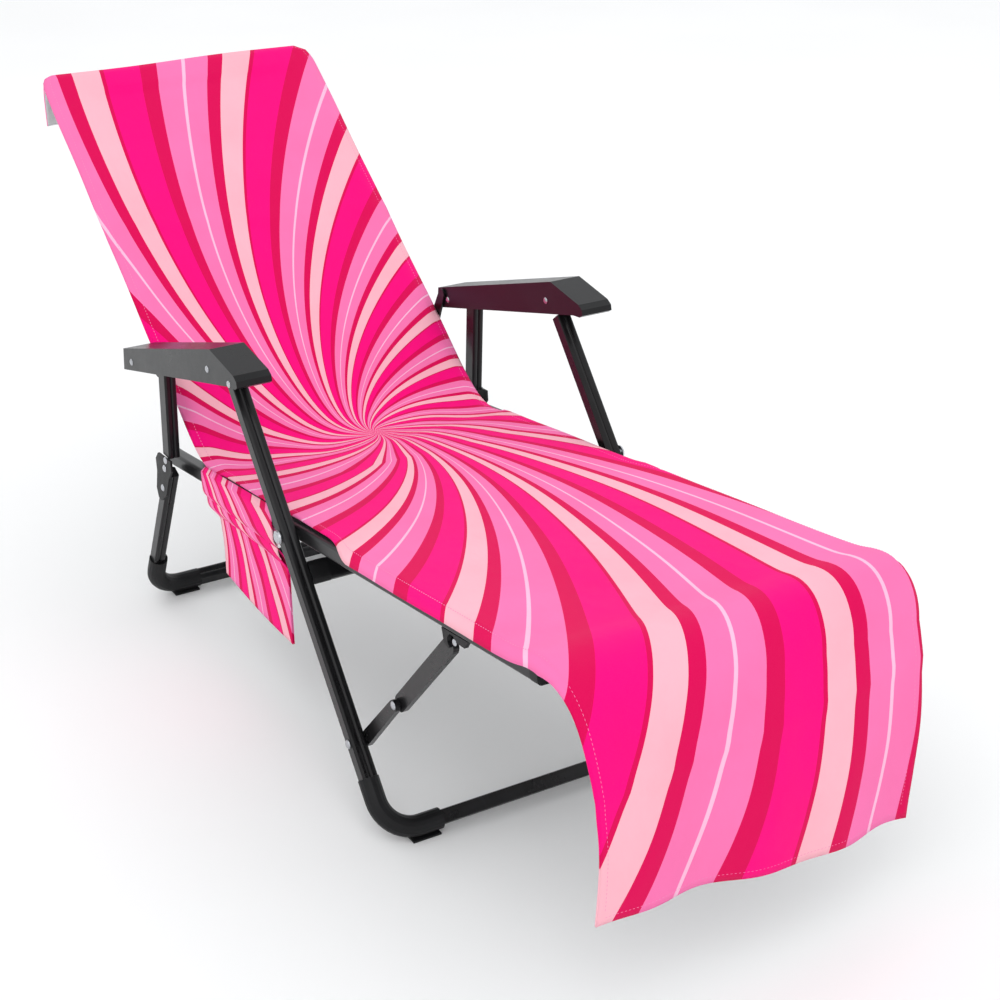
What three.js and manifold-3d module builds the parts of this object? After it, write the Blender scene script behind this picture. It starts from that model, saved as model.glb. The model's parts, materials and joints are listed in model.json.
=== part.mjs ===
import * as THREE from "three";
import { mergeVertices } from "three/addons/utils/BufferGeometryUtils.js";
import Module from "manifold-3d";

// Folding recliner with a draped cloth cover. Millimetres, +Z up, foot end at -Y, floor at z = 0.

// from the design's origin to the middle of the whole chair
const SHIFT_Y = 209.2;

// tube section: two round ribs side by side on a flat-sided tube
const TUBE_W = 24;
const TUBE_D = 22;
const GAP = 0.4;

// planes across the width (centre of each tube)
const X_RAIL = 261.5;
const X_LEG = 287;
const X_BACK = 236;
const ARM_IN = 269;
const ARM_OUT = 325;

// side view (y, z) of the linkage pins
const FRONT_PIN = [-348, 375];
const BACK_PIN = [20, 318];
const REAR_PIN = [98, 313];
const ARM_FRONT_PIN = [-200, 552];
const BRACE_PIN = [-553, 128];
const BRACE_TOP = [-806, 414];

// side view of the tube runs
const RAIL_REAR = [150, 306];
const RAIL_FOOT = [-1004, 465];
const FRONT_FOOT = [-643, 19.6];
const REAR_FOOT = [243, 19.6];
const HEAD = [664, 818];
const UPRIGHT_TOP = [90, 498];

// floor frame
const SHOE_R = 16;
const BEND_R = 52;
const SLEEVE = 34;
const PAD = [46, 26, 3];

// armrest channel
const ARM_REAR = [186, 501];
const ARM_FRONT = [-186, 621];
const ARM_NOSE = [-270, 607];
const ARM_DEPTH = 38;
const ARM_WALL = 3;

// cloth and sling
const SLING_T = 2;
const COVER_T = 4;
const COVER_W = 524;
const HEM = [-1140, 165];
const POCKET = { y0: -262, y1: -18, z0: 150, z1: 304, x: -243, t: 6 };

const wasm = await Module();
wasm.setup();

const black = new THREE.MeshStandardMaterial({ color: 0x1b1b1d, metalness: 0.3, roughness: 0.4 });

function material(color, metalness, roughness) {
  const m = black.clone();
  m.color.set(color);
  m.metalness = metalness;
  m.roughness = roughness;
  return m;
}

const LOOK = {
  frame: () => material(0x202022, 0.5, 0.35),
  plastic: () => material(0x2a2a2c, 0.0, 0.55),
  steel: () => material(0xc9ccd0, 0.9, 0.25),
  sling: () => material(0x17181a, 0.0, 0.85),
  cloth: () => material(0xf2288a, 0.0, 0.9),
};

function solid(geometry) {
  const bare = geometry.clone();
  bare.deleteAttribute("normal");
  bare.deleteAttribute("uv");
  const welded = mergeVertices(bare, 1e-4);
  return new wasm.Manifold(
    new wasm.Mesh({
      numProp: 3,
      vertProperties: new Float32Array(welded.attributes.position.array),
      triVerts: new Uint32Array(welded.index.array),
    }),
  );
}

function cut(body, tool) {
  const result = solid(body).subtract(solid(tool)).getMesh();
  const geometry = new THREE.BufferGeometry();
  geometry.setAttribute("position", new THREE.BufferAttribute(new Float32Array(result.vertProperties), 3));
  geometry.setIndex(new THREE.BufferAttribute(new Uint32Array(result.triVerts), 1));
  return geometry;
}

function place(name, geometry, look, root) {
  geometry.translate(0, SHIFT_Y, 0);
  const mesh = new THREE.Mesh(geometry, LOOK[look]());
  mesh.name = name;
  root.add(mesh);
  return mesh;
}

function along(a, b) {
  const d = [b[0] - a[0], b[1] - a[1]];
  const length = Math.hypot(d[0], d[1]);
  return { length, u: [d[0] / length, d[1] / length] };
}

function pointOn(a, b, s) {
  const { u } = along(a, b);
  return [a[0] + u[0] * s, a[1] + u[1] * s];
}

// closed outline with two shallow round ribs on the +y side and two on the -y side
function ribbedOutline(w, d) {
  const s = new THREE.Shape();
  const r = w / 4;
  const rise = 2.2;
  const flat = d / 2 - rise;
  const points = [];
  for (const side of [1, -1]) {
    for (const rib of [1, -1]) {
      for (let i = 0; i <= 5; i += 1) {
        const t = i / 5;
        const x = side * (rib * r + r * Math.cos(Math.PI * t));
        const y = side * (flat + rise * Math.sin(Math.PI * t));
        points.push([x, y]);
      }
    }
  }
  const moved = (p, q) => Math.hypot(p[0] - q[0], p[1] - q[1]) > 0.05;
  const kept = points.filter((p, i) => i === 0 || moved(p, points[i - 1]));
  kept.forEach((p, i) => (i === 0 ? s.moveTo(p[0], p[1]) : s.lineTo(p[0], p[1])));
  s.closePath();
  return s;
}

function boxOutline(w, d, r) {
  const s = new THREE.Shape();
  s.moveTo(-w / 2 + r, -d / 2);
  s.lineTo(w / 2 - r, -d / 2);
  s.absarc(w / 2 - r, -d / 2 + r, r, -Math.PI / 2, 0, false);
  s.lineTo(w / 2, d / 2 - r);
  s.absarc(w / 2 - r, d / 2 - r, r, 0, Math.PI / 2, false);
  s.lineTo(-w / 2 + r, d / 2);
  s.absarc(-w / 2 + r, d / 2 - r, r, Math.PI / 2, Math.PI, false);
  s.lineTo(-w / 2, -d / 2 + r);
  s.absarc(-w / 2 + r, -d / 2 + r, r, Math.PI, 1.5 * Math.PI, false);
  s.closePath();
  return s;
}

// straight prism between two side-view points; outline x runs across the chair
function sideRun(outline, x, a, b, start, end) {
  const { length, u } = along(a, b);
  const body = new THREE.ExtrudeGeometry(outline, {
    depth: length - start - end,
    bevelEnabled: false,
    curveSegments: 4,
  });
  const across = new THREE.Vector3(1, 0, 0);
  const dir = new THREE.Vector3(0, u[0], u[1]);
  const up = new THREE.Vector3().crossVectors(dir, across);
  const basis = new THREE.Matrix4().makeBasis(across, up, dir);
  body.applyMatrix4(basis);
  body.translate(x, a[0] + u[0] * start, a[1] + u[1] * start);
  return body;
}

// straight bar across the chair, its section turned to follow a side-view direction
function crossRun(outline, x0, x1, at, angle) {
  const body = new THREE.ExtrudeGeometry(outline, { depth: x1 - x0, bevelEnabled: false, curveSegments: 4 });
  const dir = new THREE.Vector3(1, 0, 0);
  const first = new THREE.Vector3(0, Math.cos(angle), Math.sin(angle));
  const second = new THREE.Vector3().crossVectors(dir, first);
  body.applyMatrix4(new THREE.Matrix4().makeBasis(first, second, dir));
  body.translate(x0, at[0], at[1]);
  return body;
}

// plate drawn in side view (y, z) and given a thickness across the chair
function sidePlate(points, x0, x1) {
  const s = new THREE.Shape();
  points.forEach((p, i) => (i === 0 ? s.moveTo(p[0], p[1]) : s.lineTo(p[0], p[1])));
  s.closePath();
  const body = new THREE.ExtrudeGeometry(s, { depth: Math.abs(x1 - x0), bevelEnabled: false, curveSegments: 4 });
  const basis = new THREE.Matrix4().makeBasis(
    new THREE.Vector3(0, 1, 0),
    new THREE.Vector3(0, 0, 1),
    new THREE.Vector3(1, 0, 0),
  );
  body.applyMatrix4(basis);
  body.translate(Math.min(x0, x1), 0, 0);
  return body;
}

// rounded outline in side view around a straight centre line
function slotPoints(a, b, r0, r1) {
  const base = Math.atan2(b[1] - a[1], b[0] - a[0]);
  const points = [];
  for (let i = 0; i <= 8; i += 1) {
    const t = base + Math.PI / 2 + (Math.PI * i) / 8;
    points.push([a[0] + r0 * Math.cos(t), a[1] + r0 * Math.sin(t)]);
  }
  for (let i = 0; i <= 8; i += 1) {
    const t = base - Math.PI / 2 + (Math.PI * i) / 8;
    points.push([b[0] + r1 * Math.cos(t), b[1] + r1 * Math.sin(t)]);
  }
  return points;
}

// bolt along x with a domed head: profile turned about its own axis and closed on it
function bolt(x0, x1, at, shank, head, headThickness) {
  const length = Math.abs(x1 - x0);
  const profile = [
    new THREE.Vector2(0, 0),
    new THREE.Vector2(shank, 0),
    new THREE.Vector2(shank, length),
    new THREE.Vector2(head, length),
    new THREE.Vector2(head * 0.92, length + headThickness * 0.55),
    new THREE.Vector2(head * 0.6, length + headThickness * 0.9),
    new THREE.Vector2(0, length + headThickness),
  ];
  const body = new THREE.LatheGeometry(profile, 16);
  body.rotateZ(x1 > x0 ? -Math.PI / 2 : Math.PI / 2);
  body.translate(x0, at[0], at[1]);
  return body;
}

// moulded corner shoe: sleeve on the leg, round bend, sleeve on the floor bar
class CornerPath extends THREE.Curve {
  constructor(side, corner, up) {
    super();
    this.corner = new THREE.Vector3(side * X_LEG, corner[0], corner[1]);
    this.up = new THREE.Vector3(0, up[0], up[1]);
    this.inward = new THREE.Vector3(-side, 0, 0);
    this.total = 2 * SLEEVE + (BEND_R * Math.PI) / 2;
  }

  getPoint(t, target = new THREE.Vector3()) {
    const s = t * this.total;
    const arc = (BEND_R * Math.PI) / 2;
    const centre = this.corner.clone().addScaledVector(this.up, BEND_R).addScaledVector(this.inward, BEND_R);
    if (s <= SLEEVE) {
      return target.copy(this.corner).addScaledVector(this.up, BEND_R + SLEEVE - s);
    }
    if (s >= SLEEVE + arc) {
      return target.copy(this.corner).addScaledVector(this.inward, BEND_R + (s - SLEEVE - arc));
    }
    const a = (s - SLEEVE) / BEND_R;
    return target
      .copy(centre)
      .addScaledVector(this.inward, -BEND_R * Math.cos(a))
      .addScaledVector(this.up, -BEND_R * Math.sin(a));
  }
}

function roundOutline(r, n) {
  const s = new THREE.Shape();
  for (let i = 0; i < n; i += 1) {
    const t = (2 * Math.PI * (i + 0.5)) / n;
    if (i === 0) {
      s.moveTo(r * Math.cos(t), r * Math.sin(t));
    } else {
      s.lineTo(r * Math.cos(t), r * Math.sin(t));
    }
  }
  s.closePath();
  return s;
}

function shoe(side, foot, top) {
  const { u } = along(foot, top);
  const path = new CornerPath(side, foot, u);
  return new THREE.ExtrudeGeometry(roundOutline(SHOE_R, 16), {
    steps: 22,
    bevelEnabled: false,
    extrudePath: path,
  });
}

function box(sx, sy, sz, x, y, z) {
  const b = new THREE.BoxGeometry(sx, sy, sz);
  b.translate(x, y, z);
  return b;
}

const ribbed = ribbedOutline(TUBE_W, TUBE_D);
const sides = [
  [-1, "near"],
  [1, "far"],
];

function seatFrame(root) {
  const rail = along(RAIL_REAR, RAIL_FOOT);
  const tilt = Math.atan2(rail.u[1], rail.u[0]);
  for (const [s, tag] of sides) {
    const tube = sideRun(boxOutline(23, 24, 5), s * X_RAIL, RAIL_REAR, RAIL_FOOT, 0, 0);
    place(`rail_${tag}`, tube, "frame", root);
    const cap = pointOn(RAIL_REAR, RAIL_FOOT, -GAP);
    const capEnd = pointOn(RAIL_REAR, RAIL_FOOT, -9);
    place(`rail_cap_${tag}`, sideRun(boxOutline(24, 25, 6), s * X_RAIL, cap, capEnd, 0, 0), "plastic", root);
    const nose = pointOn(RAIL_REAR, RAIL_FOOT, rail.length + GAP);
    const noseEnd = pointOn(RAIL_REAR, RAIL_FOOT, rail.length + 18);
    const cover = sideRun(boxOutline(25, 26, 7), s * X_RAIL, nose, noseEnd, 0, 0);
    place(`rail_nose_${tag}`, cover, "plastic", root);
    const inner = s * (X_RAIL - 11.5 - GAP);
    const plate = [
      [470, 11],
      [462, 0],
      [470, -13],
      [540, -13],
      [725, -6],
      [735, 2],
      [725, 11],
    ].map(([run, lift]) => lifted(pointOn(RAIL_REAR, RAIL_FOOT, run), RAIL_FOOT, lift));
    place(`joint_plate_${tag}`, sidePlate(plate, inner, inner - s * 3), "plastic", root);
    const hook = [
      [-850, 431],
      [-782, 421.5],
      [-788, 402],
      [-800, 398],
      [-803, 401],
      [-797, 407],
      [-797, 414],
      [-803, 421],
      [-812, 422],
      [-820, 416],
      [-842, 418],
    ];
    const hx = s * 267.6;
    place(`brace_hook_${tag}`, sidePlate(hook, hx - 3, hx + 3), "plastic", root);
  }
  const flat = boxOutline(30, 18, 4);
  const half = X_RAIL - 11.5 - GAP;
  for (const [name, s] of [
    ["cross_rear", 215],
    ["cross_foot", rail.length - 22],
  ]) {
    const c = pointOn(RAIL_REAR, RAIL_FOOT, s);
    place(name, crossRun(flat, -half, half, [c[0], c[1] - 1], tilt), "frame", root);
  }
  const slingStart = pointOn(RAIL_REAR, RAIL_FOOT, 232);
  const slingEnd = pointOn(RAIL_REAR, RAIL_FOOT, rail.length - 40);
  const strip = new THREE.Shape();
  const w = X_RAIL - 11.5 - 5;
  strip.moveTo(-w, 0);
  strip.lineTo(w, 0);
  strip.lineTo(w, -SLING_T);
  strip.lineTo(-w, -SLING_T);
  strip.closePath();
  place("seat_sling", sideRun(strip, 0, slingStart, slingEnd, 0, 0), "sling", root);
}

function lifted(a, b, lift) {
  const { u } = along(a, b);
  const n = u[0] < 0 ? [u[1], -u[0]] : [-u[1], u[0]];
  return [a[0] + n[0] * lift, a[1] + n[1] * lift];
}

function panel(a, b, lift, start, end, halfWidth, t) {
  const strip = boxOutline(2 * halfWidth, t, t * 0.3);
  const p = lifted(a, b, lift);
  const { u, length } = along(a, b);
  return sideRun(strip, 0, p, [p[0] + u[0] * length, p[1] + u[1] * length], start, end);
}

function cloth(root) {
  const rail = along(RAIL_REAR, RAIL_FOOT);
  const half = COVER_W / 2;
  place("cover_seat", panel(RAIL_REAR, RAIL_FOOT, 17.5, 215, -18, half, COVER_T), "cloth", root);
  const topFront = lifted(pointOn(RAIL_REAR, RAIL_FOOT, rail.length + 24), RAIL_REAR, 0);
  const start = [topFront[0] - 6, topFront[1] + 6];
  place("cover_drop", sideRun(boxOutline(COVER_W, COVER_T, 1.2), 0, start, HEM, 4, 0), "cloth", root);
  const back = along(BACK_PIN, HEAD);
  place("cover_back", panel(BACK_PIN, HEAD, 17.5, 75, -16, half, COVER_T), "cloth", root);
  const over = pointOn(BACK_PIN, HEAD, back.length + 19);
  const overA = lifted(over, pointOn(BACK_PIN, HEAD, back.length + 60), 14);
  const overB = lifted(over, pointOn(BACK_PIN, HEAD, back.length + 60), -70);
  place("cover_hood", sideRun(boxOutline(COVER_W, COVER_T, 1.2), 0, overA, overB, 0, 0), "cloth", root);
  const outline = [
    [POCKET.y1, POCKET.z1],
    [POCKET.y1 - 4, POCKET.z0 + 40],
    [POCKET.y1 - 24, POCKET.z0],
    [POCKET.y0 + 26, POCKET.z0 - 4],
    [POCKET.y0, POCKET.z0 + 24],
    [POCKET.y0 - 4, POCKET.z1 + 32],
  ];
  place("pocket", sidePlate(outline, POCKET.x - POCKET.t, POCKET.x), "cloth", root);
}

function floorFrame(root, tag0, foot, top) {
  const { u } = along(foot, top);
  const angle = Math.atan2(u[1], u[0]);
  const reach = X_LEG - BEND_R - SLEEVE - GAP;
  place(`${tag0}_floor_bar`, crossRun(ribbed, -reach, reach, foot, angle + Math.PI / 2), "frame", root);
  for (const [s, tag] of sides) {
    place(`${tag0}_shoe_${tag}`, shoe(s, foot, top), "plastic", root);
    place(
      `${tag0}_pad_${tag}`,
      box(PAD[0], PAD[1], PAD[2], s * (X_LEG - BEND_R - PAD[0] / 2 + 16), foot[0], PAD[2] / 2),
      "plastic",
      root,
    );
  }
}

function frontLegs(root) {
  const legTop = pointOn(ARM_FRONT_PIN, FRONT_FOOT, -12);
  for (const [s, tag] of sides) {
    place(
      `front_leg_${tag}`,
      sideRun(ribbed, s * X_LEG, legTop, FRONT_FOOT, 0, BEND_R + SLEEVE + GAP),
      "frame",
      root,
    );
    const pivot = bolt(s * (X_LEG + 12.2), s * (X_LEG + 15), FRONT_PIN, 6, 11, 5);
    place(`front_bolt_${tag}`, pivot, "steel", root);
    const upper = pointOn(FRONT_PIN, FRONT_FOOT, 56);
    const lower = pointOn(FRONT_PIN, FRONT_FOOT, 72);
    const inner = s * (X_LEG - 12 - GAP);
    const saddle = sidePlate(slotPoints(upper, lower, 10, 10), inner, inner - s * 30);
    place(`saddle_${tag}`, saddle, "plastic", root);
    place(`brace_bolt_${tag}`, bolt(s * (X_LEG + 12.2), s * (X_LEG + 13), BRACE_PIN, 4, 7, 3), "steel", root);
  }
  const { u } = along(FRONT_PIN, FRONT_FOOT);
  const mid = pointOn(FRONT_PIN, FRONT_FOOT, 64);
  const half = X_LEG - 12 - 2 * GAP - 30;
  const crossbar = crossRun(boxOutline(34, 16, 5), -half, half, mid, Math.atan2(u[1], u[0]));
  place("front_crossbar", crossbar, "frame", root);
  floorFrame(root, "front", FRONT_FOOT, ARM_FRONT_PIN);
}

function braces(root) {
  const split = 168;
  const { length } = along(BRACE_PIN, BRACE_TOP);
  for (const [s, tag] of sides) {
    const low = pointOn(BRACE_PIN, BRACE_TOP, split - 30);
    const x0 = s * 264.5;
    place(
      `brace_lower_${tag}`,
      sidePlate(slotPoints(BRACE_PIN, low, 11, 9), x0, x0 + s * 9),
      "frame",
      root,
    );
    const a = pointOn(BRACE_PIN, BRACE_TOP, split - 26 - GAP);
    const b = pointOn(BRACE_PIN, BRACE_TOP, length - 26);
    const x1 = s * 255;
    place(
      `brace_upper_${tag}`,
      sidePlate(slotPoints(a, b, 13, 13), x1, x1 + s * 9),
      "frame",
      root,
    );
  }
}

function armrest(root, s, tag) {
  const under = (p, d) => [p[0] + d * 0.3, p[1] - d * 0.95];
  const rearLow = [ARM_REAR[0] + 4, ARM_REAR[1] - ARM_DEPTH];
  const frontLow = [-256, 585];
  const outer = [ARM_REAR, ARM_FRONT, ARM_NOSE, [-280, 601], [-282, 592], [-274, 587], frontLow, rearLow];
  const inside = [
    [ARM_REAR[0] - 4, ARM_REAR[1] - 3],
    [ARM_FRONT[0] + 1, ARM_FRONT[1] - 4],
    under([ARM_NOSE[0] + 10, ARM_NOSE[1] - 1], 4),
    [-262, 560],
    [ARM_REAR[0] - 4, ARM_REAR[1] - ARM_DEPTH - 30],
  ];
  const lo = s > 0 ? ARM_IN : -ARM_OUT;
  const skin = sidePlate(outer, lo, lo + (ARM_OUT - ARM_IN));
  const hollow = sidePlate(inside, lo + ARM_WALL, lo + (ARM_OUT - ARM_IN) - ARM_WALL);
  place(`armrest_${tag}`, cut(skin, hollow), "plastic", root);
}

function backrest(root) {
  const back = along(BACK_PIN, HEAD);
  const sling = new THREE.Shape();
  const w = X_BACK - 12 - 1;
  sling.moveTo(-w, 0);
  sling.lineTo(w, 0);
  sling.lineTo(w, -SLING_T);
  sling.lineTo(-w, -SLING_T);
  sling.closePath();
  for (const [s, tag] of sides) {
    place(`back_tube_${tag}`, sideRun(ribbed, s * X_BACK, BACK_PIN, HEAD, -14, 0), "frame", root);
    const outerFace = s * (X_BACK + 12 + GAP);
    const boss = pointOn(BACK_PIN, HEAD, 215);
    place(`arm_boss_${tag}`, bolt(outerFace, outerFace + s * 14, boss, 8, 9, 1.6), "steel", root);
    const pin = [0, 1].map((k) => ARM_FRONT_PIN[k] - FRONT_PIN[k] + BACK_PIN[k]);
    const px = s * 264.8;
    place(
      `arm_link_${tag}`,
      sidePlate(slotPoints(boss, pin, 12, 9), px, px + s * 3.6),
      "frame",
      root,
    );
  }
  const half = X_BACK - 12 - GAP;
  for (const [name, s] of [
    ["back_cross_low", 120],
    ["back_cross_mid", 470],
    ["head_bar", back.length - 14],
  ]) {
    const c = pointOn(BACK_PIN, HEAD, s);
    const bar = crossRun(boxOutline(26, 16, 5), -half, half, c, Math.atan2(back.u[1], back.u[0]));
    place(name, bar, "frame", root);
  }
  const clear = 9.6;
  const p = lifted(BACK_PIN, HEAD, clear + SLING_T);
  const q = [p[0] + back.u[0] * back.length, p[1] + back.u[1] * back.length];
  place("back_sling", sideRun(sling, 0, p, q, 80, 4), "sling", root);
}

function rearLegs(root) {
  const x = X_LEG + 2;
  const section = ribbedOutline(20, TUBE_D);
  for (const [s, tag] of sides) {
    place(
      `rear_leg_${tag}`,
      sideRun(section, s * x, REAR_PIN, REAR_FOOT, 14, BEND_R + SLEEVE + GAP),
      "frame",
      root,
    );
    const foot = pointOn(REAR_PIN, UPRIGHT_TOP, 22);
    place(`upright_${tag}`, sideRun(ribbedOutline(20, 28), s * x, foot, UPRIGHT_TOP, 0, 0), "frame", root);
    const px = s * (x + 10 + GAP);
    const gusset = [
      [70, 336],
      [124, 332],
      [136, 318],
      [134, 296],
      [142, 262],
      [136, 246],
      [124, 244],
      [100, 262],
      [82, 300],
      [68, 318],
    ];
    place(`bracket_${tag}`, sidePlate(gusset, px, px + s * 3.4), "plastic", root);
  }
  floorFrame(root, "rear", REAR_FOOT, REAR_PIN);
}

function assemble() {
  const root = new THREE.Group();
  root.name = "folding_recliner";
  seatFrame(root);
  cloth(root);
  frontLegs(root);
  braces(root);
  for (const [s, tag] of sides) {
    armrest(root, s, tag);
  }
  backrest(root);
  rearLegs(root);
  return root;
}

export default assemble();
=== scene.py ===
import json
import math

import bpy
import numpy as np
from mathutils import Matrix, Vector


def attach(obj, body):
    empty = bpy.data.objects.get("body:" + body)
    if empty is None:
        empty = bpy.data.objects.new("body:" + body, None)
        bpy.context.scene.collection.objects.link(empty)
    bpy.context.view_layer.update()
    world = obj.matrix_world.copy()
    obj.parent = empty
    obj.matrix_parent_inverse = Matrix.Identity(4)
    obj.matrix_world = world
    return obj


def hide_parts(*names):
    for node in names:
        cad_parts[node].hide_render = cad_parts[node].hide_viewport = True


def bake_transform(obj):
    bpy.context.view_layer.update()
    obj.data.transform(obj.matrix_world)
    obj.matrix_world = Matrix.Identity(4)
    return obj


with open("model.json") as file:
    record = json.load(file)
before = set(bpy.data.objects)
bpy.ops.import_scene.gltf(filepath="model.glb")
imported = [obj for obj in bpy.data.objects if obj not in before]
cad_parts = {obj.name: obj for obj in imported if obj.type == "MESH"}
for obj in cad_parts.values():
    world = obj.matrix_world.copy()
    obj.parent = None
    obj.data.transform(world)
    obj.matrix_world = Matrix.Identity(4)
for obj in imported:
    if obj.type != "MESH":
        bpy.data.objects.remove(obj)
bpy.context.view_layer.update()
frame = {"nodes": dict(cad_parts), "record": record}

# ---------------------------------------------------------------- constants (row frame, metres)
RAIL_A, RAIL_B = np.array([0.3592, 0.306]), np.array([-0.7948, 0.465])
RAIL_SLOPE = 0.1378
HINGE, HEAD = np.array([0.2292, 0.318]), np.array([0.8732, 0.818])
X_RAIL, X_BACK = 0.2615, 0.236
REAR_PIN = np.array([0.3072, 0.313])
BRACE_PIN, BRACE_TOP = np.array([-0.3438, 0.128]), np.array([-0.5968, 0.414])
CLOTH_T = 0.0024
SWIRL_X = 0.034
SIDES = {"near": -1.0, "far": 1.0}


# ---------------------------------------------------------------- node helpers
def new_material(name):
    m = bpy.data.materials.new(name)
    m.use_nodes = True
    m.node_tree.nodes.clear()
    out = m.node_tree.nodes.new("ShaderNodeOutputMaterial")
    bsdf = m.node_tree.nodes.new("ShaderNodeBsdfPrincipled")
    m.node_tree.links.new(bsdf.outputs[0], out.inputs["Surface"])
    return m, m.node_tree.nodes, m.node_tree.links, bsdf


def srgb(r, g, b):
    linear = [((c / 255 + 0.055) / 1.055) ** 2.4 if c > 10 else c / 255 / 12.92 for c in (r, g, b)]
    return (*linear, 1.0)


def math_node(nodes, links, op, a, b=None):
    n = nodes.new("ShaderNodeMath")
    n.operation = op
    for i, v in enumerate((a, b)):
        if v is None:
            continue
        if isinstance(v, (int, float)):
            n.inputs[i].default_value = v
        else:
            links.new(v, n.inputs[i])
    return n.outputs[0]


def noise(nodes, links, coords, scale, detail=2.0, rough=0.5, stretch=None):
    vector = coords
    if stretch:
        mp = nodes.new("ShaderNodeMapping")
        mp.inputs["Scale"].default_value = stretch
        links.new(coords, mp.inputs["Vector"])
        vector = mp.outputs[0]
    n = nodes.new("ShaderNodeTexNoise")
    n.inputs["Scale"].default_value = scale
    n.inputs["Detail"].default_value = detail
    n.inputs["Roughness"].default_value = rough
    links.new(vector, n.inputs["Vector"])
    return n.outputs[0]


def map_range(nodes, links, value, a, b, lo, hi):
    n = nodes.new("ShaderNodeMapRange")
    for key, v in (("From Min", a), ("From Max", b), ("To Min", lo), ("To Max", hi)):
        n.inputs[key].default_value = v
    links.new(value, n.inputs["Value"])
    return n.outputs[0]


def mix_color(nodes, links, factor, a, b):
    n = nodes.new("ShaderNodeMix")
    n.data_type = "RGBA"
    if isinstance(factor, float):
        n.inputs[0].default_value = factor
    else:
        links.new(factor, n.inputs[0])
    for socket, v in ((n.inputs[6], a), (n.inputs[7], b)):
        if isinstance(v, tuple):
            socket.default_value = v
        else:
            links.new(v, socket)
    return n.outputs[2]


def bump(nodes, links, height, strength, distance, normal=None):
    n = nodes.new("ShaderNodeBump")
    n.inputs["Strength"].default_value = strength
    n.inputs["Distance"].default_value = distance
    links.new(height, n.inputs["Height"])
    if normal is not None:
        links.new(normal, n.inputs["Normal"])
    return n.outputs[0]


def object_coords(nodes):
    return nodes.new("ShaderNodeTexCoord").outputs["Object"]


def hard_material(name, base, worn, rough, metallic=0.0, grain=600.0, depth=0.00012, coat=0.0, stretch=None):
    """Paint, moulded plastic or metal: mottled colour, smudged roughness and a fine surface grain."""
    m, nodes, links, bsdf = new_material(name)
    co = object_coords(nodes)
    blotch = noise(nodes, links, co, 9.0, 5.0, 0.6, stretch)
    scuff = noise(nodes, links, co, 55.0, 6.0, 0.75, stretch)
    scuffed = map_range(nodes, links, scuff, 0.56, 0.74, 0.0, 1.0)
    tone = mix_color(nodes, links, map_range(nodes, links, blotch, 0.35, 0.7, 0.0, 0.55), base, worn)
    links.new(mix_color(nodes, links, math_node(nodes, links, "MULTIPLY", scuffed, 0.45), tone, worn),
              bsdf.inputs["Base Color"])
    smudge = math_node(nodes, links, "ADD", blotch, scuff)
    links.new(map_range(nodes, links, smudge, 0.6, 1.35, *rough), bsdf.inputs["Roughness"])
    bsdf.inputs["Metallic"].default_value = metallic
    bsdf.inputs["Coat Weight"].default_value = coat
    bsdf.inputs["Coat Roughness"].default_value = 0.25
    bsdf.inputs["Specular IOR Level"].default_value = 0.5 if metallic > 0.9 else 0.24
    fine = noise(nodes, links, co, grain, 3.0, 0.6)
    links.new(bump(nodes, links, fine, 0.6, depth), bsdf.inputs["Normal"])
    return m


# stripes of one repeat around the swirl: share of the repeat where each starts, and its colour
STRIPES = [
    (0.000, (255, 194, 224)),
    (0.022, (252, 122, 182)),
    (0.175, (222, 0, 86)),
    (0.270, (254, 186, 200)),
    (0.450, (222, 0, 86)),
    (0.480, (254, 0, 128)),
    (0.715, (222, 0, 86)),
    (0.830, (252, 122, 182)),
]
REPEATS = 17
PHASE = 39.561
TWIST = 0.393


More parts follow.
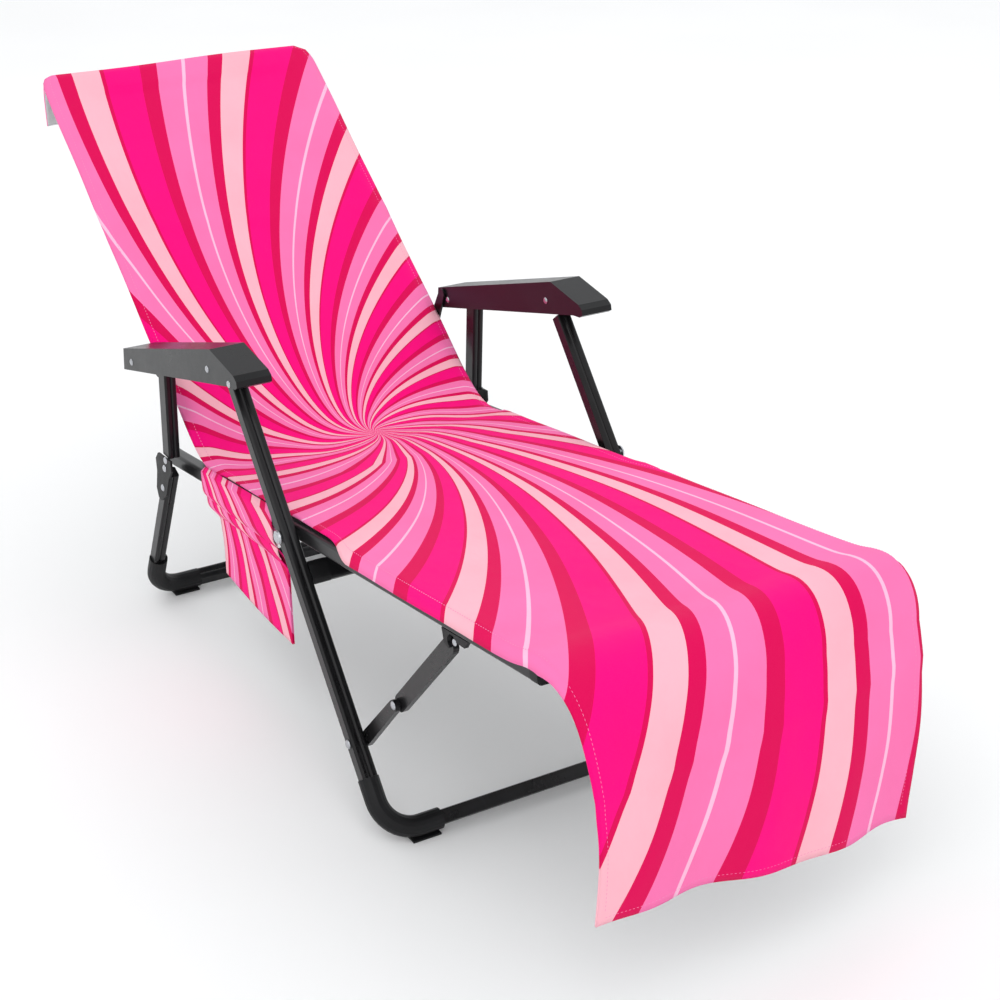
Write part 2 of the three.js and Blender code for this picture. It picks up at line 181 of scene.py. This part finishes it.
def cloth_material(name, printed=True):
    """Brushed microfibre with nap and a fine weave: the swirl print in flat coordinates, or white."""
    m, nodes, links, bsdf = new_material(name)
    uv = nodes.new("ShaderNodeUVMap")
    uv.uv_map = "flat"
    sep = nodes.new("ShaderNodeSeparateXYZ")
    links.new(uv.outputs[0], sep.inputs[0])
    x, y = sep.outputs[0], sep.outputs[1]
    if printed:
        # the print is stretched along the seat half, so the length is scaled there before the spiral is drawn
        shrink = map_range(nodes, links, y, -0.16, 0.06, 1 / 1.6, 1 / 1.05)
        along = math_node(nodes, links, "MULTIPLY", y, shrink)
        r = math_node(nodes, links, "SQRT", math_node(
            nodes, links, "ADD", math_node(nodes, links, "MULTIPLY", x, x),
            math_node(nodes, links, "MULTIPLY", along, along)))
        angle = math_node(nodes, links, "ARCTAN2", x, along)
        spiral = math_node(nodes, links, "LOGARITHM", math_node(
            nodes, links, "DIVIDE", math_node(nodes, links, "MAXIMUM", r, 0.012), 0.08), math.e)
        twist = math_node(nodes, links, "MULTIPLY", spiral, TWIST)
        turned = math_node(nodes, links, "SUBTRACT", angle, twist)
        phase = math_node(nodes, links, "FRACT", math_node(
            nodes, links, "ADD", math_node(nodes, links, "MULTIPLY", turned, REPEATS / (2 * math.pi)), PHASE))
        ramp = nodes.new("ShaderNodeValToRGB")
        ramp.color_ramp.interpolation = "CONSTANT"
        stops = ramp.color_ramp.elements
        while len(stops) < len(STRIPES):
            stops.new(0.5)
        for stop, (at, colour) in zip(stops, STRIPES):
            stop.position = at
            stop.color = srgb(*colour)
        links.new(phase, ramp.inputs[0])
        colour = ramp.outputs[0]
    else:
        colour = srgb(238, 236, 238)
    soft = noise(nodes, links, uv.outputs[0], 7.0, 4.0, 0.55)
    nap = noise(nodes, links, uv.outputs[0], 420.0, 3.0, 0.7)
    lint = map_range(nodes, links, nap, 0.35, 0.7, 0.0, 0.010)
    shade = mix_color(nodes, links, lint, colour, srgb(255, 215, 232))
    uneven = map_range(nodes, links, soft, 0.4, 0.75, 0.0, 0.10)
    faded = mix_color(nodes, links, uneven, shade, srgb(222, 0, 84))
    links.new(faded if printed else shade, bsdf.inputs["Base Color"])
    links.new(map_range(nodes, links, nap, 0.3, 0.7, 0.78, 0.95), bsdf.inputs["Roughness"])
    bsdf.inputs["Sheen Weight"].default_value = 0.04
    bsdf.inputs["Sheen Roughness"].default_value = 0.5
    bsdf.inputs["Specular IOR Level"].default_value = 0.08
    warp = math_node(nodes, links, "SINE", math_node(nodes, links, "MULTIPLY", x, 3600.0))
    weft = math_node(nodes, links, "SINE", math_node(nodes, links, "MULTIPLY", y, 3600.0))
    weave = math_node(nodes, links, "MULTIPLY", warp, weft)
    first = bump(nodes, links, math_node(nodes, links, "ADD", weave, nap), 0.25, 0.0006)
    crease = noise(nodes, links, uv.outputs[0], 11.0, 3.0, 0.5, (1.0, 0.45, 1.0))
    links.new(bump(nodes, links, crease, 0.5, 0.012, first), bsdf.inputs["Normal"])
    return m


def mesh_cloth(name):
    """Woven vinyl-coated mesh of the slings: crossed yarns a little over a millimetre apart, with a painted
    highlight on their crests and painted shade between them.
    """
    m, nodes, links, bsdf = new_material(name)
    co = object_coords(nodes)
    sep = nodes.new("ShaderNodeSeparateXYZ")
    links.new(co, sep.inputs[0])
    a = math_node(nodes, links, "SINE", math_node(nodes, links, "MULTIPLY", sep.outputs[0], 2600.0))
    b = math_node(nodes, links, "SINE", math_node(nodes, links, "MULTIPLY", sep.outputs[1], 2600.0))
    yarn = math_node(nodes, links, "MAXIMUM", a, b)
    # painted light: the yarns' crests are painted lighter and the gaps between them are painted dark, as
    # highlight and shade
    crest_highlight = map_range(nodes, links, yarn, -0.6, 1.0, 0.0, 1.0)
    tone = mix_color(nodes, links, crest_highlight, srgb(9, 9, 10), srgb(46, 46, 50))
    links.new(tone, bsdf.inputs["Base Color"])
    dull = map_range(nodes, links, noise(nodes, links, co, 30.0, 4.0), 0.3, 0.7, 0.55, 0.8)
    links.new(dull, bsdf.inputs["Roughness"])
    links.new(bump(nodes, links, yarn, 0.5, 0.0008), bsdf.inputs["Normal"])
    return m


def band_cloth(name, colour):
    """Edge webbing and elastic cord: fine ribs, with a painted highlight on their crests."""
    m, nodes, links, bsdf = new_material(name)
    co = object_coords(nodes)
    sep = nodes.new("ShaderNodeSeparateXYZ")
    links.new(co, sep.inputs[0])
    rib = math_node(nodes, links, "SINE", math_node(nodes, links, "MULTIPLY", math_node(
        nodes, links, "ADD", sep.outputs[0], sep.outputs[1]), 3000.0))
    # painted highlight: the ribs' crests are mixed towards a lighter grey
    crest_highlight = map_range(nodes, links, rib, -1.0, 1.0, 0.0, 0.5)
    links.new(mix_color(nodes, links, crest_highlight, colour, srgb(70, 70, 74)), bsdf.inputs["Base Color"])
    bsdf.inputs["Roughness"].default_value = 0.8
    links.new(bump(nodes, links, rib, 0.4, 0.0006), bsdf.inputs["Normal"])
    return m


PAINT = hard_material("frame_paint", srgb(15, 14, 15), srgb(38, 38, 41), (0.22, 0.38), metallic=0.1,
                      grain=900.0, depth=0.00006, coat=0.12, stretch=(1.0, 0.35, 0.35))
PLASTIC = hard_material("moulded_plastic", srgb(14, 14, 15), srgb(33, 33, 36), (0.38, 0.56),
                        grain=1400.0, depth=0.0002)
ARM_PLASTIC = hard_material("armrest_plastic", srgb(12, 13, 15), srgb(28, 30, 33), (0.24, 0.38),
                            grain=1600.0, depth=0.00012, coat=0.08)
STEEL = hard_material("bright_rivet", srgb(196, 198, 202), srgb(140, 142, 148), (0.18, 0.36),
                      metallic=1.0, grain=700.0, depth=0.00005)
MESH = mesh_cloth("sling_mesh")
WEBBING = band_cloth("sling_webbing", srgb(20, 20, 22))
ELASTIC = band_cloth("elastic_cord", srgb(16, 16, 18))
PRINT = cloth_material("cover_print")
WHITE = cloth_material("cover_back_white", printed=False)
THREAD = hard_material("hem_thread", srgb(236, 120, 176), srgb(250, 170, 205), (0.7, 0.85),
                       grain=900.0, depth=0.0001)

LOOKS = {"black_frame": PAINT, "black_plastic": PLASTIC, "steel": STEEL, "sling": MESH, "cover_cloth": PRINT}
for part in frame["record"]["subparts"]:
    o = frame["nodes"][part["node"]]
    look = ARM_PLASTIC if part["node"].startswith("armrest") else LOOKS[part["material_slot"]]
    for s in o.material_slots:
        s.material = look
    if part["material_slot"] in ("black_plastic", "black_frame"):
        edge = o.modifiers.new("edge", "BEVEL")
        edge.width = 0.0016 if part["node"].startswith("armrest") else 0.0007
        edge.segments = 2
        edge.limit_method = "ANGLE"
        edge.angle_limit = math.radians(38)
        edge.harden_normals = False


# ---------------------------------------------------------------- mesh helpers
def make(name, verts, faces, mats, face_mats=None, uvs=None, smooth=True):
    me = bpy.data.meshes.new(name)
    me.from_pydata([tuple(map(float, v)) for v in verts], [], [tuple(map(int, f)) for f in faces])
    for m in mats:
        me.materials.append(m)
    if face_mats is not None:
        me.polygons.foreach_set("material_index", np.array(face_mats, dtype=np.int32))
    if uvs is not None:
        layer = me.uv_layers.new(name="flat")
        loops = np.zeros(len(me.loops), dtype=np.int32)
        me.loops.foreach_get("vertex_index", loops)
        layer.data.foreach_set("uv", np.array(uvs, dtype=np.float32)[loops].ravel())
    if smooth:
        me.polygons.foreach_set("use_smooth", [True] * len(me.polygons))
    me.update()
    o = bpy.data.objects.new(name, me)
    bpy.context.scene.collection.objects.link(o)
    return o


def resample(points, step):
    """Catmull-Rom through the points, then evenly spaced samples."""
    p = np.array(points, dtype=float)
    ext = np.vstack([2 * p[0] - p[1], p, 2 * p[-1] - p[-2]])
    dense = []
    for i in range(1, len(ext) - 2):
        a, b, c, d = ext[i - 1], ext[i], ext[i + 1], ext[i + 2]
        for t in np.linspace(0, 1, 24, endpoint=False):
            square = (2 * a - 5 * b + 4 * c - d) * t ** 2
            cube = (3 * b - a - 3 * c + d) * t ** 3
            dense.append(0.5 * (2 * b + (c - a) * t + square + cube))
    dense.append(p[-1])
    dense = np.array(dense)
    run = np.concatenate([[0], np.cumsum(np.linalg.norm(np.diff(dense, axis=0), axis=1))])
    s = np.linspace(0, run[-1], max(2, int(round(run[-1] / step)) + 1))
    return np.stack([np.interp(s, run, dense[:, k]) for k in range(p.shape[1])], axis=1), s


def shell(name, grid, normals, uv, thickness, mats):
    """A closed two-layer sheet from a grid of points: outer layer and rim mats[0], inner layer mats[1]."""
    n, m = grid.shape[:2]
    outer = (grid + normals * thickness / 2).reshape(-1, 3)
    inner = (grid - normals * thickness / 2).reshape(-1, 3)
    verts = np.vstack([outer, inner])
    count = n * m
    faces, kinds = [], []
    for i in range(n - 1):
        for j in range(m - 1):
            a, b, c, d = i * m + j, i * m + j + 1, (i + 1) * m + j + 1, (i + 1) * m + j
            faces.append((a, b, c, d))
            kinds.append(0)
            faces.append((a + count, d + count, c + count, b + count))
            kinds.append(1)
    rim = [(0, j) for j in range(m)]
    rim += [(i, m - 1) for i in range(1, n)]
    rim += [(n - 1, j) for j in range(m - 2, -1, -1)]
    rim += [(i, 0) for i in range(n - 2, 0, -1)]
    for k, (i, j) in enumerate(rim):
        i2, j2 = rim[(k + 1) % len(rim)]
        a, b = i * m + j, i2 * m + j2
        faces.append((b, a, a + count, b + count))
        kinds.append(0)
    return make(name, verts, faces, mats, kinds, np.vstack([uv.reshape(-1, 2)] * 2))


def grid_normals(grid):
    du = np.gradient(grid, axis=1)
    dv = np.gradient(grid, axis=0)
    n = np.cross(du, dv)
    return n / np.maximum(np.linalg.norm(n, axis=2, keepdims=True), 1e-9)


def tube(name, points, radius, mat, sides):
    """A round cord along the points, closed by a flat cap at each end."""
    p = np.array(points, dtype=float)
    n = len(p)
    tang = np.gradient(p, axis=0)
    tang /= np.maximum(np.linalg.norm(tang, axis=1, keepdims=True), 1e-9)
    up = np.array([0.0, 0.0, 1.0]) if abs(tang[0][2]) < 0.9 else np.array([1.0, 0.0, 0.0])
    verts = []
    u = np.cross(tang[0], up)
    u /= np.linalg.norm(u)
    for k in range(n):
        u = u - tang[k] * np.dot(u, tang[k])
        u /= max(np.linalg.norm(u), 1e-9)
        w = np.cross(tang[k], u)
        for a in range(sides):
            t = 2 * math.pi * a / sides
            verts.append(p[k] + radius * (math.cos(t) * u + math.sin(t) * w))
    faces = []
    for k in range(n - 1):
        for a in range(sides):
            b = (a + 1) % sides
            faces.append((k * sides + a, k * sides + b, (k + 1) * sides + b, (k + 1) * sides + a))
    faces.append(tuple(range(sides - 1, -1, -1)))
    faces.append(tuple((n - 1) * sides + a for a in range(sides)))
    return make(name, verts, faces, [mat])


def lathe(profile, centre, axis, sides=20):
    """Verts and faces of a turned form: profile is (radius, height) pairs along the axis from centre."""
    axis = Vector(axis).normalized()
    u = axis.orthogonal().normalized()
    w = axis.cross(u)
    verts, faces = [], []
    for r, h in profile:
        for a in range(sides):
            t = 2 * math.pi * a / sides
            out = max(r, 1e-5)
            verts.append(Vector(centre) + axis * h + u * (out * math.cos(t)) + w * (out * math.sin(t)))
    for k in range(len(profile) - 1):
        for a in range(sides):
            b = (a + 1) % sides
            faces.append((k * sides + a, k * sides + b, (k + 1) * sides + b, (k + 1) * sides + a))
    return verts, faces


RIVET = [(0.0, 1.0), (0.35, 0.97), (0.65, 0.82), (0.86, 0.55), (0.97, 0.25), (1.0, 0.0), (1.0, -0.3)]


def rivets(name, body, places, radius, height):
    """Domed rivet heads. places holds (x, y, z, outward sign along X)."""
    verts, faces = [], []
    for x, y, z, sign in places:
        v, f = lathe([(r * radius, h * height) for r, h in RIVET], (x, y, z), (sign, 0, 0))
        faces += [tuple(i + len(verts) for i in q) for q in f]
        verts += v
    o = make(name, verts, faces, [STEEL])
    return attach(o, body)


def clamp(v):
    return min(1.0, max(0.0, v))


def ease(v):
    return v * v * (3 - 2 * v)


def rail_height(y):
    """Height of the side rails' centre line at y."""
    return RAIL_A[1] + RAIL_SLOPE * (RAIL_A[0] - y)


def unit(a, b):
    d = np.array(b, dtype=float) - np.array(a, dtype=float)
    return d / np.linalg.norm(d)


# ---------------------------------------------------------------- the draped cover
back_u = unit(HINGE, HEAD)
back_n = np.array([-back_u[1], back_u[0]])
rail_u = unit(RAIL_A, RAIL_B)
rail_n = np.array([rail_u[1], -rail_u[0]])
LIFT = 0.0172


def on_back(s, lift=LIFT):
    return HINGE + back_u * s + back_n * lift


def on_rail(s, lift=LIFT):
    return RAIL_A + rail_u * s + rail_n * lift


back_len = float(np.linalg.norm(HEAD - HINGE))
rail_len = float(np.linalg.norm(RAIL_B - RAIL_A))
path_points = [
    (0.897, 0.752), (0.9005, 0.790), (0.8995, 0.817), (0.893, 0.834), (0.8805, 0.8435),
    on_back(back_len - 0.012), on_back(back_len - 0.09), on_back(back_len - 0.30), on_back(back_len - 0.50),
    on_back(0.16), on_back(0.085, 0.0168), (0.247, 0.3585), (0.212, 0.3475), (0.170, 0.3475),
    on_rail(0.235), on_rail(0.34), on_rail(0.56), on_rail(0.80), on_rail(1.02),
    on_rail(rail_len - 0.045, 0.0185), on_rail(rail_len - 0.004, 0.0235), on_rail(rail_len + 0.024, 0.0235),
    (-0.8465, 0.4865), (-0.8735, 0.4715), (-0.8985, 0.4440), (-0.9170, 0.4020), (-0.9300, 0.3440),
    (-0.9385, 0.2820), (-0.9390, 0.2200), (-0.9350, 0.1560),
]
PATH, RUN = resample(path_points, 0.011)
TOTAL = float(RUN[-1])

# distances along the path: its crest at the head, the hinge, the swirl's centre and the foot end's edge
CREST = int(np.argmax(PATH[:, 1]))
S_TOP = float(RUN[CREST])
S_HINGE = float(RUN[int(np.argmin(np.abs(PATH[:, 0] - 0.20) + (PATH[:, 1] > 0.6) * 9))])
S_SWIRL = S_HINGE + 0.003
S_FOOT = RUN[min(range(CREST, len(PATH)), key=lambda i: abs(PATH[i][0] + 0.825))]


def cover_sheet():
    cols = 89
    grid = np.zeros((len(PATH), cols, 3))
    uv = np.zeros((len(PATH), cols, 2))
    tang = np.gradient(PATH, axis=0)
    tang /= np.linalg.norm(tang, axis=1, keepdims=True)
    for i, (p, s) in enumerate(zip(PATH, RUN)):
        normal = np.array([tang[i][1], -tang[i][0]])
        half = 0.2635
        corner = 0.040
        round_off = 0.0
        if s < S_TOP + corner:
            d = min(1.0, (S_TOP + corner - s) / corner)
            round_off = 1 - math.sqrt(max(0.0, 1 - d * d))
        drop = clamp((s - S_FOOT) / (TOTAL - S_FOOT))
        past = ease(clamp((-0.225 - p[0]) / 0.09) * (s > S_HINGE))
        half += 0.0155 * past * (1 - min(1.0, 2.2 * drop)) + 0.003 * min(1.0, 2.2 * drop)
        seat = clamp((s - S_HINGE) / 0.08)
        crest = X_BACK + (X_RAIL - X_BACK) * seat
        for j in range(cols):
            t = 1 - 2 * j / (cols - 1)
            lean = 0.5 * (1 + t)
            x = t * (half - (0.008 + 0.022 * lean) * round_off)
            q = np.array(p)
            if drop > 0:
                # the hem hangs lower on the far side, and soft flutes grow towards it
                q = q + tang[i] * (0.058 * (lean - 0.30) - 0.010) * drop ** 1.5
                q = q + np.array([0.030, 0.0]) * lean ** 1.5 * min(1.0, 3.5 * drop)
            off = -0.0065 * max(0.0, 1 - (x / crest) ** 2) * (1 - drop) ** 2
            if s < S_TOP + 0.05:
                off *= 0.3
            over = abs(x) - crest - 0.006
            if over > 0 and seat < 0.5:
                off -= 1.05 * over ** 1.25
            hang = max(0.0, abs(x) - 0.2685) * past * (1 - min(1.0, 3 * drop))
            off -= 1.5 * hang
            broad = math.sin(9.1 * x + 3.7 * s) * math.sin(4.3 * s + 1.1)
            narrow = 0.6 * math.sin(21.0 * x - 6.1 * s + 0.7) * math.sin(7.7 * s + 2.0)
            ripple = broad + narrow
            off += 0.0017 * (1 + ripple) * (1 - abs(t) ** 3) * (1 - drop)
            # gathers at the crease between back and seat
            g = math.exp(-((s - S_HINGE) / 0.05) ** 2)
            off += g * 0.0022 * math.sin(46 * x + 1.3) * (1 - 0.3 * abs(t))
            # flutes of the hanging end
            flute = (0.0085 * math.sin(17.5 * x + 0.4) + 0.0040 * math.sin(39 * x + 2.1)) * drop ** 1.4
            off += flute + 0.004 * math.sin(9 * s + 6 * x) * drop * (1 - drop)
            # fold marks left from packing, across the hanging end and across the back
            off += 0.0022 * math.exp(-((drop - 0.52 + 0.12 * lean) / 0.035) ** 2) * (drop > 0)
            off += 0.0012 * math.exp(-((s - 0.44 - 0.05 * lean) / 0.012) ** 2)
            q = q + normal * off
            edge = 0.0014 * math.sin(26 * s + (0 if t < 0 else 2)) * abs(t) ** 8 * (0.4 + drop)
            grid[i, j] = (x + edge, q[0], q[1])
            uv[i, j] = (x - SWIRL_X, S_SWIRL - s)
    normals = grid_normals(grid)
    o = shell("draped_cover", grid, normals, uv, CLOTH_T, [PRINT, WHITE])
    return o, grid, normals


cover, cover_grid, cover_normals = cover_sheet()


def seam(name, grid, normals, rows, cols, pitch=0.006, length=0.0038, radius=0.0005, lift=0.0011):
    """A row of thread stitches lying on the sheet along a line of grid points."""
    line = np.array([grid[i, j] + normals[i, j] * lift for i, j in zip(rows, cols)])
    run = np.concatenate([[0], np.cumsum(np.linalg.norm(np.diff(line, axis=0), axis=1))])
    verts, faces = [], []
    nrm = np.array([normals[i, j] for i, j in zip(rows, cols)])
    s = pitch
    while s + length < run[-1]:
        a = np.array([np.interp(s, run, line[:, c]) for c in range(3)])
        b = np.array([np.interp(s + length, run, line[:, c]) for c in range(3)])
        n = np.array([np.interp(s, run, nrm[:, c]) for c in range(3)])
        d = (b - a) / np.linalg.norm(b - a)
        w = np.cross(d, n)
        base = len(verts)
        for f, r in ((0.0, 0.25), (0.3, 1.0), (0.7, 1.0), (1.0, 0.25)):
            c0 = a + (b - a) * f
            verts += [c0 + w * radius * r, c0 + n * radius * r * 0.9, c0 - w * radius * r]
        for q in range(3):
            faces += [(base + 3 * q, base + 3 * q + 1, base + 3 * q + 4, base + 3 * q + 3),
                      (base + 3 * q + 1, base + 3 * q + 2, base + 3 * q + 5, base + 3 * q + 4)]
        s += pitch
    return make(name, verts, faces, [THREAD])


rows_all = list(range(2, len(PATH) - 2))
stitches = []
for side, col in (("near", 86), ("far", 2)):
    line = [col] * len(rows_all)
    stitches.append(seam(f"hem_stitch_{side}", cover_grid, cover_normals, rows_all, line))
last = len(PATH) - 2
stitches.append(seam("hem_stitch_foot", cover_grid, cover_normals, [last] * 85, list(range(2, 87))))
for o in stitches:
    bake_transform(o)
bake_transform(cover)
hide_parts("cover_back", "cover_hood", "cover_seat", "cover_drop")


# ---------------------------------------------------------------- side pocket, hanging outside the near rail
def pocket_panel(name, outer):
    rows, cols = 34, 44
    grid = np.zeros((rows, cols, 3))
    uv = np.zeros((rows, cols, 2))
    for i in range(rows):
        b = i / (rows - 1)
        for j in range(cols):
            a = 1 - j / (cols - 1)
            rail_z = rail_height(0.205 - 0.262 * a)
            top = (0.218 - 0.272 * a, rail_z + (0.0150 if outer else -0.016))
            low = (0.190 - 0.250 * a, 0.156 - 0.014 * a - 0.005 * math.sin(math.pi * a))
            y = top[0] + (low[0] - top[0]) * b + 0.004 * math.sin(7 * b) * (1 - a)
            z = top[1] + (low[1] - top[1]) * b
            below = clamp((b - 0.12) / 0.88)
            belly = math.sin(math.pi * a) * math.sin(math.pi * below)
            # flat against the rail's outer side, then inward below it, clear of the folding braces
            inward = ease(clamp((b - 0.20) / 0.22))
            if outer:
                x = -0.2740 + 0.0226 * inward + 0.0010 * belly * math.sin(19 * a + 4 * b) * inward
                if i == 0:
                    x += 0.0080
            else:
                x = -0.2668 + 0.0178 * inward + 0.0070 * belly * inward
            grid[i, j] = (x, y, z)
            uv[i, j] = (0.05 + a * 0.20, -0.05 - b * 0.30)
    o = shell(name, grid, grid_normals(grid), uv, 0.0012, [PRINT, WHITE])
    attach(o, "seat_frame")
    return o


pocket_outer = pocket_panel("pocket_outer", True)
pocket_inner = pocket_panel("pocket_inner", False)
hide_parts("pocket")

# ---------------------------------------------------------------- slings, webbing, eyelets and lacing
EYELET = [(0.0042, 0.0021), (0.0060, 0.0030), (0.0078, 0.0021), (0.0078, -0.0021),
          (0.0060, -0.0032), (0.0042, -0.0021), (0.0042, 0.0021)]
# the webbing's fold around the sling's edge: distance outward, distance along the sheet's normal
FOLD = [(-0.026, 0.0014), (-0.012, 0.0019), (-0.001, 0.0019), (0.0012, 0.0),
        (-0.001, -0.0019), (-0.012, -0.0019), (-0.026, -0.0014)]


def sling(name, body, node, origin, direction, normal, s0, s1, half, tube_in, drop):
    n_s, n_x = 60, 31
    grid = np.zeros((n_s, n_x, 3))
    uv = np.zeros((n_s, n_x, 2))
    for i in range(n_s):
        s = s0 + (s1 - s0) * i / (n_s - 1)
        for j in range(n_x):
            t = 2 * j / (n_x - 1) - 1
            end = 1 - abs(2 * i / (n_s - 1) - 1) ** 4
            p = origin + direction * s - normal * (0.001 + drop * (1 - t * t) * end)
            scallop = 0.004 * math.sin(math.pi * (i / (n_s - 1)) * 15) ** 2 * abs(t) ** 9
            grid[i, j] = (t * (half - scallop), p[0], p[1])
            uv[i, j] = (t * half, s)
    o = shell(name, grid, grid_normals(grid), uv, 0.0016, [MESH, MESH])
    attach(o, body)
    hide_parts(node)
    normals = grid_normals(grid)
    extra = []
    for side, sign in SIDES.items():
        # webbing band folded over the edge
        band = np.zeros((n_s, len(FOLD), 3))
        for i in range(n_s):
            col = n_x - 1 if sign > 0 else 0
            edge = grid[i, col]
            nn = normals[i, col]
            for k, (dx, dn) in enumerate(FOLD):
                band[i, k] = edge + np.array([sign * dx, 0, 0]) + nn * dn
        no_uv = np.zeros((n_s, len(FOLD), 2))
        b = shell(f"{name}_band_{side}", band, grid_normals(band), no_uv, 0.0008, [WEBBING, WEBBING])
        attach(b, body)
        extra.append(b)
        # eyelets and the elastic that laces the edge to the tube
        count = int((s1 - s0) / 0.058)
        lace, ringv, ringf = [], [], []
        for k in range(count):
            s = s0 + 0.03 + (s1 - s0 - 0.06) * k / (count - 1)
            at = origin + direction * s
            eye = np.array([sign * (half - 0.013), at[0], at[1]]) + np.array([0, *(-normal * 0.001)])
            v, f = lathe(EYELET, eye, (0, normal[0], normal[1]), 18)
            ringf += [tuple(q + len(ringv) for q in face) for face in f]
            ringv += v
            half_pitch = 0.5 * (s1 - s0 - 0.06) / (count - 1)
            down = np.array([0, *(-normal * 0.006)])
            up = np.array([0, *(normal * 0.004)])
            lace += [eye + down, eye + up + np.array([sign * 0.008, 0, 0])]
            if k < count - 1:
                mid = origin + direction * (s + half_pitch)
                lace += [np.array([sign * (tube_in - 0.004), mid[0], mid[1]]) + up * 0.6
                         - np.array([0, *(direction * 0.006)]),
                         np.array([sign * (tube_in + 0.002), mid[0], mid[1]]),
                         np.array([sign * (tube_in - 0.004), mid[0], mid[1]]) - up * 0.6
                         + np.array([0, *(direction * 0.006)])]
        rings = make(f"{name}_eyelets_{side}", ringv, ringf, [STEEL])
        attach(rings, body)
        pts, _ = resample(lace, 0.0035)
        cord = tube(f"{name}_lacing_{side}", pts, 0.0016, ELASTIC, 7)
        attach(cord, body)
        extra += [rings, cord]
    return o, extra


seat_s0, seat_s1 = 0.232, rail_len - 0.046
seat_sheet, seat_extra = sling("seat_sling_mesh", "seat_frame", "seat_sling", RAIL_A, rail_u, rail_n,
                               seat_s0, seat_s1, half=0.228, tube_in=0.2495, drop=0.006)
back_s0, back_s1 = 0.096, back_len - 0.018
back_sheet, back_extra = sling("back_sling_mesh", "backrest", "back_sling", HINGE, back_u, back_n,
                               back_s0, back_s1, half=0.204, tube_in=0.2245, drop=0.006)

# ---------------------------------------------------------------- rivets and small hardware
SHIFT_Y = 0.2092  # from the linkage's own origin to the middle of the chair
for side, sign in SIDES.items():
    out, inside = 0.325 * sign, 0.269 * sign
    rivets(f"arm_rivets_{side}", f"armrest_{side}",
           [(out, -0.173 + SHIFT_Y, 0.585, sign), (out, -0.252 + SHIFT_Y, 0.588, sign),
            (out, 0.152 + SHIFT_Y, 0.488, sign), (inside, -0.173 + SHIFT_Y, 0.585, -sign),
            (inside, 0.152 + SHIFT_Y, 0.488, -sign)], 0.0055, 0.0022)
    rivets(f"bracket_rivets_{side}", "rear_legs",
           [(0.3028 * sign, y, z, sign) for y, z in (REAR_PIN, (0.322, 0.272), (0.300, 0.330))],
           0.0062, 0.0026)
    rivets(f"rail_rivets_{side}", "seat_frame",
           [(0.2466 * sign, y, rail_height(y), -sign) for y in (-0.335, -0.245, -0.150)]
           + [(0.2706 * sign, -0.607, 0.4145, sign)], 0.005, 0.0018)
    rivets(f"saddle_rivets_{side}", "front_legs",
           [(0.2446 * sign, -0.186, 0.318, -sign), (0.2446 * sign, -0.173, 0.333, -sign)], 0.004, 0.0016)
    knee = BRACE_PIN + unit(BRACE_PIN, BRACE_TOP) * 0.14
    rivets(f"brace_rivets_{side}", f"brace_{side}",
           [(0.2735 * sign, knee[0], knee[1], sign)], 0.0065, 0.0024)
    rivets(f"brace_rivet_backs_{side}", f"brace_{side}",
           [(0.255 * sign, y, z, -sign) for y, z in (knee, BRACE_TOP - np.array([0.0, 0.006]))],
           0.0065, 0.0008)

# ---------------------------------------------------------------- floor, light, camera
floor_mat, fn, fl, fb = new_material("studio_floor")
tone = noise(fn, fl, object_coords(fn), 1.4, 2.0)
patchy = map_range(fn, fl, tone, 0.3, 0.7, 0.0, 1.0)
fl.new(mix_color(fn, fl, patchy, (0.955, 0.96, 0.957, 1), (0.975, 0.98, 0.977, 1)), fb.inputs["Base Color"])
fb.inputs["Roughness"].default_value = 0.9
floor_corners = [(x, y, -0.0005) for x, y in ((-20, -20), (20, -20), (20, 20), (-20, 20))]
floor = make("floor", floor_corners, [(0, 1, 2, 3)], [floor_mat], smooth=False)

world = bpy.data.worlds.new("studio")
bpy.context.scene.world = world
world.use_nodes = True
world.node_tree.nodes["Background"].inputs[0].default_value = (0.98, 0.985, 1.0, 1)
world.node_tree.nodes["Background"].inputs[1].default_value = 0.99


def area_light(name, location, target, size, energy):
    data = bpy.data.lights.new(name, "AREA")
    data.shape = "SQUARE"
    data.size = size
    data.energy = energy
    o = bpy.data.objects.new(name, data)
    o.location = location
    o.rotation_euler = (Vector(target) - Vector(location)).to_track_quat("-Z", "Y").to_euler()
    bpy.context.scene.collection.objects.link(o)
    return o


area_light("key", (-2.2, -2.6, 4.2), (0, 0, 0.3), 3.2, 46)
area_light("fill", (3.6, 0.8, 3.4), (0, 0, 0.3), 3.0, 14)
area_light("rim", (-1.5, 3.6, 2.6), (0, 0, 0.5), 2.2, 12)

# the photograph's viewing angle
cam_data = bpy.data.cameras.new("camera")
cam_data.lens = 71.24
cam_data.sensor_width = 36.0
cam = bpy.data.objects.new("camera", cam_data)
cam.location = (-1.3613, -2.5426, 1.6624)
cam.rotation_euler = (math.radians(64.79), 0.0, math.radians(-30.91))
bpy.context.scene.collection.objects.link(cam)
bpy.context.scene.camera = cam
bpy.context.scene.view_settings.view_transform = "Standard"
